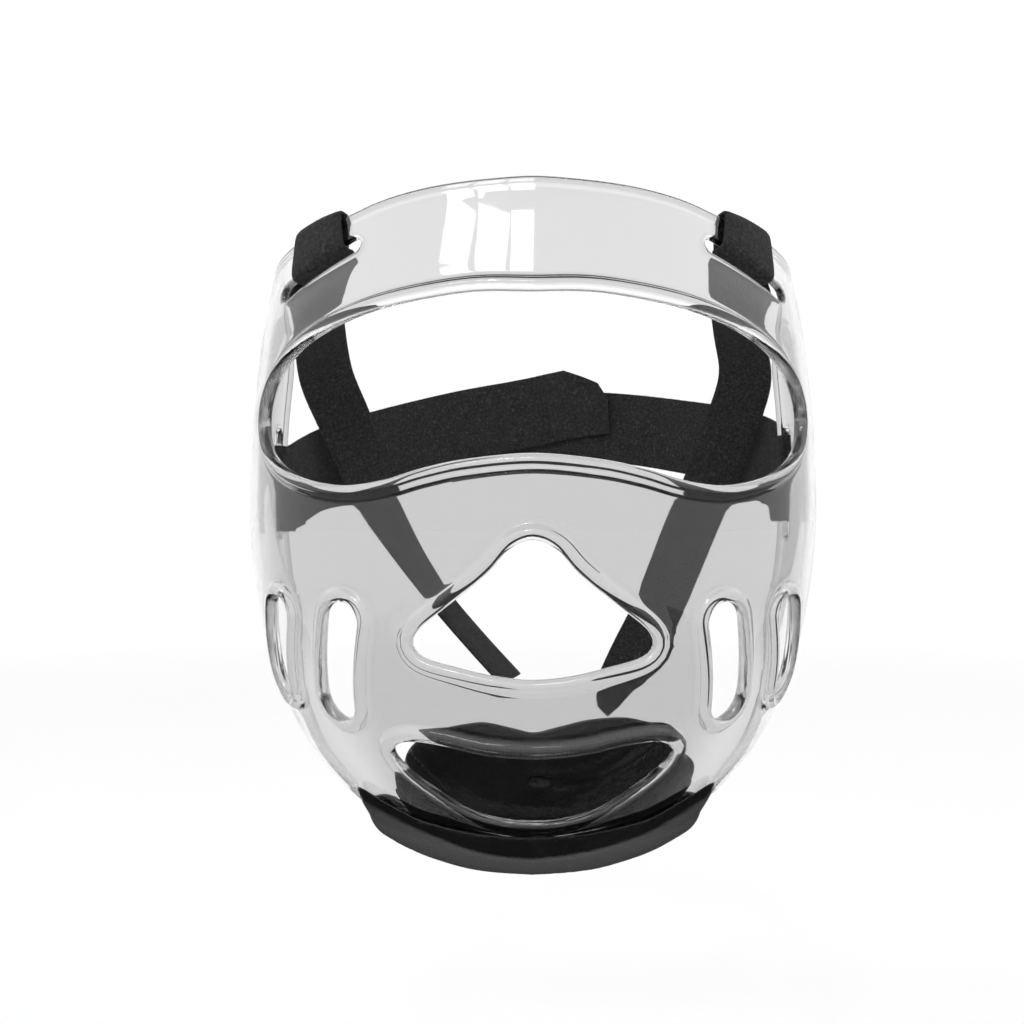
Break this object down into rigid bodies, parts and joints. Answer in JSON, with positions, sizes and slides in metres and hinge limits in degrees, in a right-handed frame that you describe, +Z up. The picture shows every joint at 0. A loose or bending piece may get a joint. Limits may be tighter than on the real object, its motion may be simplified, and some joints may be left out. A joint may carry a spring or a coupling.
{
  "type": "face guard",
  "caption": "Clear plastic face guard with eye, nose and mouth openings, side slots, a padded chin roll and cup, and black hook-and-loop straps.",
  "frame": {"origin": "middle of the space for the head, level with the bridge of the nose", "axes": "+Z up, the front of the guard faces -Y, and +X is to the right of someone who faces it"},
  "size_m": [0.1988, 0.2142, 0.214],
  "materials": {
    "clear_plastic": "clear polished polycarbonate",
    "black_vinyl": "glossy black vinyl over foam",
    "cup_vinyl": "creased black vinyl over foam",
    "strap_cloth": "black brushed hook-and-loop webbing"
  },
  "bodies": {
    "root": {"face_shell": "clear_plastic", "chin_roll": "black_vinyl", "chin_cup": "cup_vinyl", "crown_strap_left": "strap_cloth", "crown_strap_right": "strap_cloth", "rear_band_left": "strap_cloth", "rear_band_right": "strap_cloth"}
  },
  "joints": []
}
